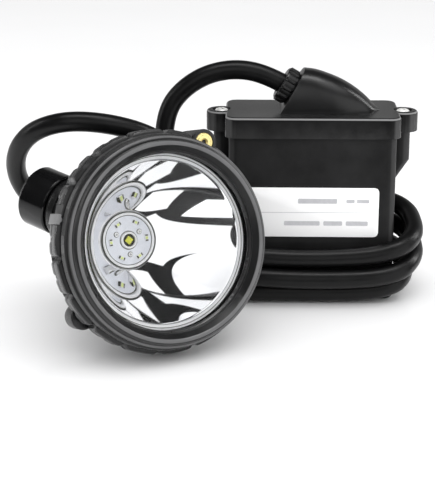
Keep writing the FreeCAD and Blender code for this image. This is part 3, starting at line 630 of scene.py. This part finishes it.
# painted shade: a thin dark ring where the flange meets the mirror bowl
place(lathe("flange_edge_shade", [(32.85, 8.74), (33.0, 8.74), (33.0, 8.92), (32.85, 8.92)], M["ink"], HM, seg=256), "lamp", "reflector_chrome")
lens = lathe("lens", round_corners([(0, 5.3), (36.9, 5.3), (36.9, 8.25), (0, 8.25)], [0, 0.4, 0.4, 0], n=3), M["lens"], HM, seg=160)
place(lens, "lamp", "lens_clear", "front_lens")

# circuit board with its rim, emitters and rivets
brd = lathe("star_board", round_corners([(0, 46.3), (11.6, 46.3), (11.6, 47.9), (0, 47.9)], [0, 0.15, 0.15, 0], n=2), M["board"], HM, seg=128)
place(brd, "lamp", "board_white", "led_board")
rim = lathe("board_rim", round_corners([(10.55, 46.3), (10.7, 45.75), (11.1, 45.6), (11.6, 45.75), (11.65, 46.3)], [0.1, 0.2, 0.2, 0.2, 0.1], n=3),
            M["ringwhite"], HM, seg=128)
place(rim, "lamp", "board_white", "board_ring")
# painted shade: thin dark rings on the board inside and outside the rim and around the emitter's base
for nm, r0, r1 in (("rim_shade_in", 10.28, 10.5), ("rim_shade_out", 11.7, 12.0), ("emitter_shade_ring", 3.7, 3.95)):
    place(lathe(nm, [(r0, 46.2), (r1, 46.2), (r1, 46.32), (r0, 46.32)], M["dark"], HM, seg=128), "lamp", "board_white")
base = lathe("emitter_ring", round_corners([(2.65, 46.28), (2.65, 45.3), (3.0, 45.15), (3.5, 45.3), (3.65, 46.28)], [0.05, 0.15, 0.15, 0.15, 0.05], n=3),
             M["ringwhite"], HM, seg=72)
place(base, "lamp", "board_white", "main_led_ring")
dome = lathe("emitter_dome", [(0, 43.45)] + [(2.45 * math.sin(a), 45.9 - 2.45 * math.cos(a)) for a in
             [math.pi / 2 * i / 14 for i in range(1, 15)]] + [(2.45, 46.25), (0, 46.25)], M["dome"], HM, seg=64)
place(dome, "lamp", "led_phosphor", "main_led")
place(lathe("emitter_well", [(0, 46.15), (2.65, 46.15), (2.65, 46.28), (0, 46.28)], M["dark"], HM, seg=64), "lamp", "led_phosphor")
s = 1.35
chip = extrude("emitter_chip", round_corners([(-s, -s), (s, -s), (s, s), (-s, s)], 0.2), 45.55, 46.1, M["phosphor"],
               HM @ Matrix.Rotation(math.radians(45), 4, "Y"), bevel=0.06)
place(chip, "lamp", "led_phosphor")
for i in range(6):
    ang = 60.0 * i
    R = HM @ Matrix.Rotation(math.radians(-ang), 4, "Y") @ Matrix.Translation(Vector((8.1, 0, 0)) * MM)
    body = extrude("aux_led_%d" % i, round_corners([(-0.75, -1.3), (0.75, -1.3), (0.75, 1.3), (-0.75, 1.3)], 0.12), 45.6, 46.28, M["ringwhite"], R, bevel=0.05)
    place(body, "lamp", "led_phosphor", "aux_leds")
    win = extrude("aux_window_%d" % i, round_corners([(-0.55, -0.6), (0.55, -0.6), (0.55, 0.6), (-0.55, 0.6)], 0.3), 45.52, 45.72, M["aux"], R, bevel=0.04)
    place(win, "lamp", "led_phosphor")
    for e, z0 in ((0, -1.32), (1, 0.78)):
        t_ = extrude("aux_end_%d_%d" % (i, e), [(-0.62, z0), (0.62, z0), (0.62, z0 + 0.54), (-0.62, z0 + 0.54)], 45.56, 46.2, M["dark"], R, bevel=0.04)
        place(t_, "lamp", "led_phosphor")
for i, a in enumerate((150, 30, 270)):
    x, z = 6.0 * math.cos(math.radians(a)), 6.0 * math.sin(math.radians(a))
    T = HM @ Matrix.Translation(Vector((x, 0, z)) * MM)
    sc = lathe("rivet_%d" % i, round_corners([(0.42, 46.28), (0.42, 45.95), (0.5, 45.75), (0.85, 45.75), (0.98, 45.95), (0.98, 46.28)],
               [0.02, 0.05, 0.05, 0.08, 0.08, 0.02], n=3), M["steel"], T, seg=40)
    place(sc, "lamp", "bright_steel", "board_screws")
    # painted shade: a grey disc darkens the bottom of the rivet's eyelet and a dark ring circles the rivet's base
    hole = lathe("rivet_hole_%d" % i, [(0, 46.1), (0.45, 46.1), (0.45, 46.28), (0, 46.28)], M["rule"], T, seg=24)
    place(hole, "lamp", "board_white")
    line = lathe("rivet_line_%d" % i, [(0.98, 46.2), (1.16, 46.2), (1.16, 46.3), (0.98, 46.3)], M["dark"], T, seg=40)
    place(line, "lamp", "board_white")

# housing
hp = round_corners([(0, 10.2), (39.5, 10.2), (39.5, 20.7), (42.0, 20.7), (42.0, 23.4), (38.2, 24.4), (36.5, 30.0), (32.6, 40.0), (29.2, 48.0),
                    (26.0, 55.0), (22.6, 60.2), (18.0, 62.6), (0, 63.2)], [0, 0.3, 0.3, 0.5, 0.6, 0.8, 6, 6, 6, 6, 4, 5, 0], n=6)
house = lathe("housing", hp, M["housing"], None, seg=224, deg=30)
KB = Vector((-23.63, 56.38, 17.6))
KD = Vector((-0.471, 0.792, 0.388)).normalized()
GB = Vector((3.0, 57.5, -8.0))
GD = Vector((-0.40, 0.80, 0.45)).normalized()


def along(name, prof, mat, base, axis, extra=Matrix.Identity(4), seg=96, deg=32.0, fn=None):
    return lathe(name, prof, mat, extra @ frame_along(base * MM, axis), seg=seg, deg=deg, fn=fn)


for prof_, b_, d_ in (
        (round_corners([(0, -17), (11.6, -17), (11.6, -5.0), (12.6, -4.6), (12.6, -2.0), (11.8, -0.5), (0, -0.5)], [0, 0, 0.4, 0.4, 0.5, 0.4, 0], n=4), KB, KD),
        (round_corners([(0, 0), (7.8, 0), (7.8, 12.4), (0, 12.4)], [0, 0, 0.6, 0], n=4), GB, GD)):
    boolean(house, along("u", prof_, M["housing"], b_, d_), "UNION")
for x_, z_, r_, t0, t1 in ((23.0, 37.4, 5.3, 9.4, 27.4), (42.0 * math.cos(math.radians(218)), 42.0 * math.sin(math.radians(218)), 5.2, 20.7, 29.2)):
    boolean(house, lathe("u", round_corners([(0, t0), (r_, t0), (r_, t1), (0, t1)], [0, 0.7, 0.9, 0], n=4), M["housing"],
                         Matrix.Translation(Vector((x_, 0, z_)) * MM), seg=72), "UNION")
boolean(house, along("c", [(0, -0.9), (5.0, -0.9), (5.0, 2), (0, 2)], M["housing"], KB, KD))
boolean(house, lathe("c", [(0, 9.0), (3.95, 9.0), (3.95, 10.6), (0, 10.6)], M["housing"], Matrix.Translation(Vector((23.0, 0, 37.4)) * MM), seg=64))
# the cup is hollow in front, so that it doesn't fill the reflector
hin = [(0, 9.0), (34.6, 9.0), (34.6, 12.0), (36.6, 12.0), (36.6, 21.0), (35.4, 22.6), (33.6, 29.0), (29.8, 38.4), (26.4, 46.6), (23.3, 53.4),
       (20.0, 57.8), (17.0, 59.8), (0, 60.2)]
boolean(house, lathe("c", hin, M["housing"], None, seg=224))
finish_mesh(house, M["housing"], 30)
house.data.transform(HM)
place(house, "lamp", "black_gloss", "head_housing")

# brass contact
cc = lathe("contact", round_corners([(1.0, 16.0), (1.0, 9.9), (1.55, 9.35), (2.7, 9.3), (2.95, 9.65), (3.5, 9.65), (3.88, 9.9), (3.88, 10.6), (1.5, 10.6), (1.5, 16.0)],
           [0, 0.1, 0.1, 0.1, 0.05, 0.05, 0.1, 0, 0, 0], n=3), M["brass"], HM @ Matrix.Translation(Vector((23.0, 0, 37.4)) * MM), seg=80)
place(cc, "lamp", "contact_brass", "charge_contact")
# painted shade: a dark disc at the bottom of the contact's bore
bore_shade = lathe("contact_bore_shade", [(0, 15.0), (1.0, 15.0), (1.0, 16.0), (0, 16.0)], M["dark"], HM @ Matrix.Translation(Vector((23.0, 0, 37.4)) * MM), seg=24)
place(bore_shade, "lamp", "contact_brass")

# rotary knob
kp = round_corners([(0, 0), (12.3, 0), (12.8, 0.6), (12.8, 13.0), (12.0, 14.0), (0, 14.0)], [0, 0.3, 0.4, 1.2, 1.2, 0], n=6)
knob = along("knob", kp, M["knob"], KB, KD, seg=160)
pocket = along("c", [(0, 11.7), (10.2, 11.7), (10.2, 15.0), (0, 15.0)], M["knob"], KB, KD)
bar = extrude("c2", round_corners([(-14, -2.3), (14, -2.3), (14, 2.3), (-14, 2.3)], 0.3), 10.0, 16.0, M["knob"], frame_along(KB * MM, KD))
boolean(pocket, bar)
boolean(knob, pocket)
finish_mesh(knob, M["knob"], 30)
knob.data.transform(HM)
place(knob, "knob", "black_gloss", "switch_knob")

# gland nuts and boot
def ribbed(name, mat, base, axis, r, length, ribs, extra, body="lamp", slot="black_gloss", node=None):
    def fn(rr, t, th):
        if rr > r - 0.35 and 0.7 < t < length - 0.7:
            a = (math.degrees(th) * ribs / 360.0) % 1.0
            return rr + 0.85 * max(0.0, math.cos(2 * math.pi * a)) ** 0.7, t
        return rr, t
    p = round_corners([(4.25, 0), (r, 0), (r, 0.9), (r, length * 0.5), (r, length - 0.9), (r - 0.2, length), (4.9, length), (4.25, length - 0.5)],
                      [0, 0.3, 0.1, 0, 0.1, 0.5, 0.3, 0.2], n=3)
    o = along(name, p, mat, base, axis, extra, seg=288, fn=fn, deg=36)
    place(o, body, slot, node)
    return o


mdir = Vector((-17.2, 0, 10.2)).normalized()
mc = Vector((-8.9, 0, 91.35))
ribbed("hood_nut", M["gloss"], mc, mdir, 7.25, 5.6, 12, Matrix.Identity(4), node="gland_nut")
ribbed("head_nut", M["gloss"], GB + GD * 12.4, GD, 7.1, 5.0, 12, HM, node="head_gland_nut")
bp = [(4.25, 17.4), (6.2, 17.4)]
for i in range(5):
    t = 18.4 + i * 1.9
    r = 6.15 - i * 0.24
    bp += [(r, t), (r - 0.45, t + 0.35), (r - 0.45, t + 1.0), (r - 0.1, t + 1.35)]
bp += [(5.05, 28.0), (4.7, 28.4), (4.25, 28.4)]
bo = along("boot", round_corners(bp, 0.15, n=2), M["rubber"], GB, GD, HM, seg=80)
place(bo, "lamp", "black_rubber", "head_boot")

# ------------------------------------------------------------------ cable hood
hx = [(-18.0, 18.2), (-4.0, 18.2), (-2.6, 18.2), (2.0, 17.5), (7.0, 15.8), (12.0, 13.8), (17.0, 11.0), (21.5, 7.8), (25.5, 4.0), (28.0, 1.0), (29.4, 0.0)]
wx = [(-18.0, 11.5), (4.0, 11.5), (10.0, 11.3), (15.0, 10.7), (20.0, 9.3), (24.0, 7.4), (26.6, 5.2), (29.4, 0.8)]


def interp(tab, x):
    for (a, fa), (b, fb) in zip(tab, tab[1:]):
        if a <= x <= b:
            t = (x - a) / (b - a)
            return fa + (fb - fa) * t
    return tab[0][1] if x < tab[0][0] else tab[-1][1]


def smooth_tab(tab, x, h=2.2):
    return sum(interp(tab, x + h * (i / 4.0)) for i in range(-4, 5)) / 9.0


verts, faces = [], []
NX, NP = 84, 40
for i in range(NX + 1):
    x = -18.0 + 47.4 * (i / NX)
    h, wd = smooth_tab(hx, x), max(0.25, smooth_tab(wx, x, 1.6))
    h = max(0.12, min(h, 18.2))
    pe = 2.0 / (2.5 - 0.4 * max(0.0, min(1.0, (x - 2.0) / 22.0)))
    for j in range(NP + 1):
        a = math.pi * j / NP
        c, s_ = math.cos(a), math.sin(a)
        y = wd * (1 if c >= 0 else -1) * abs(c) ** pe
        z = h * abs(s_) ** pe
        verts.append(Vector((x, y, 82.3 + z)) * MM)
for i in range(NX):
    for j in range(NP):
        a = i * (NP + 1) + j
        faces.append((a, a + 1, a + NP + 2, a + NP + 1))
    faces.append((i * (NP + 1), (i + 1) * (NP + 1), (i + 1) * (NP + 1) + NP, i * (NP + 1) + NP))
faces.append(tuple(range(NP, -1, -1)))
faces.append(tuple(NX * (NP + 1) + j for j in range(NP + 1)))
hood = make("hood", verts, faces, M["gloss"], None, 50)
bm = bmesh.new()
bm.from_mesh(hood.data)
g = bmesh.ops.bisect_plane(bm, geom=bm.verts[:] + bm.edges[:] + bm.faces[:], plane_co=mc * MM + mdir * 0.0, plane_no=mdir, clear_outer=True)
edges = [e for e in g["geom_cut"] if isinstance(e, bmesh.types.BMEdge)]
bmesh.ops.holes_fill(bm, edges=edges, sides=0)
rim_e = [e for e in bm.edges if len(e.link_faces) == 2 and e.calc_face_angle(0) > 0.7 and all(abs((v.co - mc * MM).dot(mdir)) < 1e-6 for v in e.verts)]
bmesh.ops.bevel(bm, geom=rim_e, offset=0.5 * MM, segments=3, profile=0.5, affect="EDGES", clamp_overlap=True)
bm.to_mesh(hood.data)
bm.free()
finish_mesh(hood, M["gloss"], 40)
place(hood, "lamp", "black_gloss", "cable_hood")

# -------------------------------------------------------------------- lid screws
for sx in (-1, 1):
    T = Matrix.Translation(Vector((sx * 39.8, 0, 80.3)) * MM) @ Matrix.Rotation(math.radians(90), 4, "X")
    hd = lathe("lid_screw_%d" % (sx > 0), [(0, 0), (3.05, 0), (3.05, 1.0), (2.8, 1.55), (2.3, 2.0), (1.6, 2.3), (0.8, 2.45), (0, 2.5)], M["zinc"], None, seg=64)
    for a in (20, 110):
        c_ = extrude("c", [(-2.0, -0.32), (2.0, -0.32), (2.0, 0.32), (-2.0, 0.32)], 1.3, 4.0, M["zinc"], Matrix.Rotation(math.radians(a), 4, "Y"))
        boolean(hd, c_)
    finish_mesh(hd, M["zinc"], 30)
    hd.data.transform(Matrix.Translation(Vector((sx * 39.8, 0, 80.3)) * MM) @ Matrix.Rotation(math.radians(90), 4, "X"))
    place(hd, "lamp", "bright_steel", "lid_screws")
    # painted shade: a dark disc at the bottom of the screw head's cross recess
    sl = lathe("lid_screw_slot_%d" % (sx > 0), [(0, 1.2), (1.9, 1.2), (1.9, 1.32), (0, 1.32)], M["dark"], T, seg=40)
    place(sl, "lamp", "bright_steel")

# ----------------------------------------------------------------------- label
def rrect(x0, z0, x1, z1, r, n=6):
    return round_corners([(x0, z0), (x1, z0), (x1, z1), (x0, z1)], r, n=n)


lab = extrude("label", rrect(-29.2, 29.0, 29.2, 51.3, 2.4), -17.9, -17.5, M["label"], None, bevel=0.08, seg=2)
place(lab, "lamp", "label_white", "label_plate")
rl = extrude("label_rule", rrect(-25.5, 40.0, 25.5, 40.22, 0.02, 1), -17.93, -17.88, M["rule"])
place(rl, "lamp", "label_white")

bars = [(-6.0, 11.0, 44.2, 46.4), (15.0, 18.6, 44.5, 46.1), (19.6, 25.0, 44.5, 46.1),
        (-12.0, 3.6, 34.2, 36.2), (5.2, 13.4, 34.2, 36.2), (15.0, 24.6, 34.2, 36.2)]
for i, (xa, xb, za, zb) in enumerate(bars):
    place(extrude("label_bar_%d" % i, rrect(xa, za, xb, zb, 0.5, 3), -17.93, -17.88, M["rule"]), "lamp", "label_white")

# ------------------------------------------------------- CAD nodes that stay
finish_of = {
    "battery_case": "case", "battery_lid": "lid", "belt_bridge": "case", "cap_hook": "housing", 
    "lid_gasket": "rubber", "lens_gasket": "rubber", "housing_seal": "rubber", "knob_seal": "rubber", "cable_seal": "rubber",
    "lid_screws": "steel", "board_screws": "steel", "hook_screws": "steel", "bridge_screws": "steel_dull", "knob_shaft": "steel",
    "led_heat_sink": "alu", "board_posts": "alu", "cell_strip": "alu", "control_board": "pcb", "protection_board": "pcb",
    "driver_chips": "chip", "board_chips": "chip", "rotary_switch": "chip", "battery_cells": "wrap", "cell_cradle": "natural",
}
for n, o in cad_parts.items():
    if o.hide_render:
        continue
    o.data.materials.clear()
    o.data.materials.append(M[finish_of.get(n, "case")])
